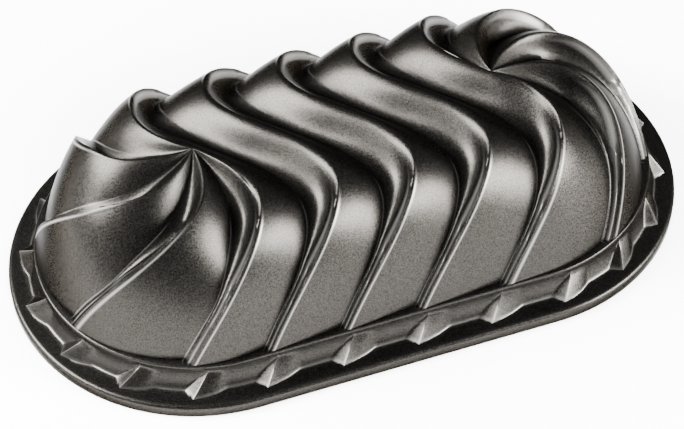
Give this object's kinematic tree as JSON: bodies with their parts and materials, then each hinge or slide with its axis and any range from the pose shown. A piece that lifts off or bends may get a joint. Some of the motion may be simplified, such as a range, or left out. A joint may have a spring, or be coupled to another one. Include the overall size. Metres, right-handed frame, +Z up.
{
  "type": "swirl loaf bundt pan",
  "caption": "Fluted loaf-shaped cake pan: a thick cast shell with swirled ribs, a toothed skirt and a flat rim, shown open side down, for baking a patterned loaf cake.",
  "frame": {"origin": "centre of the rim plane, on the surface that the pan stands on with its open side down", "axes": "+X along the length, +Z up from the rim to the top of the ribs, +Y across"},
  "size_m": [0.278, 0.156, 0.0654],
  "materials": {
    "casting": "dark satin metallic release coating with a fine sparkle over cast aluminium",
    "lining": "satin dark release coating"
  },
  "bodies": {
    "root": {"cast_body": "casting", "nonstick_lining": "lining"}
  },
  "joints": []
}
